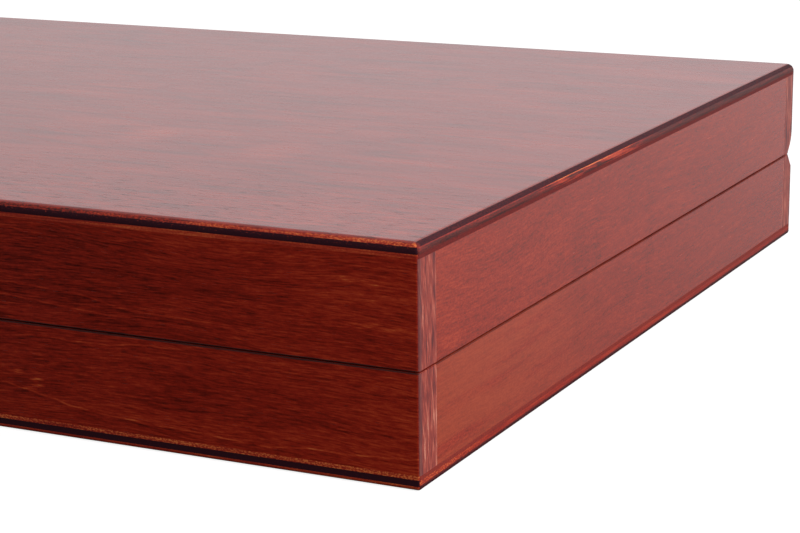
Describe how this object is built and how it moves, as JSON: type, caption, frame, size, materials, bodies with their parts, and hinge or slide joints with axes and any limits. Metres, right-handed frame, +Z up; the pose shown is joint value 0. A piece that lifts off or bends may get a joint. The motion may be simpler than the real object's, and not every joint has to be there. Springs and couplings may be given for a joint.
{
  "type": "hinged presentation case for a folded flag",
  "caption": "Flat rectangular wooden presentation case in two halves, with ply panels, bevelled back edges, butt hinges, magnet catches and padded lining.",
  "frame": {"origin": "middle of the underside of the closed case", "axes": "+X to the right along the length, +Y from the front to the hinged back, +Z up"},
  "size_m": [0.442, 0.318, 0.064],
  "materials": {
    "stained_wood": "mahogany-red stain under satin lacquer",
    "panel_face": "mahogany-red stain under satin lacquer",
    "panel_light_ply": "orange-brown ply, stained on its edge",
    "panel_dark_ply": "end-grain core ply, stained nearly black",
    "velvet_lining": "dark blue velvet",
    "satin_lining": "dark blue satin",
    "hinge_brass": "polished, lightly worn",
    "pin_steel": "plain steel",
    "screw_brass": "polished, slotted head",
    "magnet_nickel": "nickel plate"
  },
  "bodies": {
    "base": {"base_back_board": "stained_wood", "base_core_ply": "panel_dark_ply", "base_front_board": "stained_wood", "base_inner_ply": "panel_light_ply", "base_leaf_screws": "screw_brass", "base_left_board": "stained_wood", "base_lining_pad": "velvet_lining", "base_magnet_discs": "magnet_nickel", "base_right_board": "stained_wood", "base_under_ply": "panel_face", "left_hinge_base_leaf": "hinge_brass", "left_hinge_pin": "pin_steel", "right_hinge_base_leaf": "hinge_brass", "right_hinge_pin": "pin_steel"},
    "lid": {"left_hinge_lid_leaf": "hinge_brass", "lid_back_board": "stained_wood", "lid_core_ply": "panel_dark_ply", "lid_face_ply": "panel_face", "lid_front_board": "stained_wood", "lid_inner_ply": "panel_light_ply", "lid_leaf_screws": "screw_brass", "lid_left_board": "stained_wood", "lid_lining_pad": "satin_lining", "lid_magnet_discs": "magnet_nickel", "lid_right_board": "stained_wood", "right_hinge_lid_leaf": "hinge_brass"}
  },
  "joints": [
    {"name": "lid_hinge", "type": "hinge", "parent": "base", "child": "lid", "pos_m": [0, 0.1545, 0.031], "axis": [-1, 0, 0], "range_deg": [0, 95.5]}
  ]
}
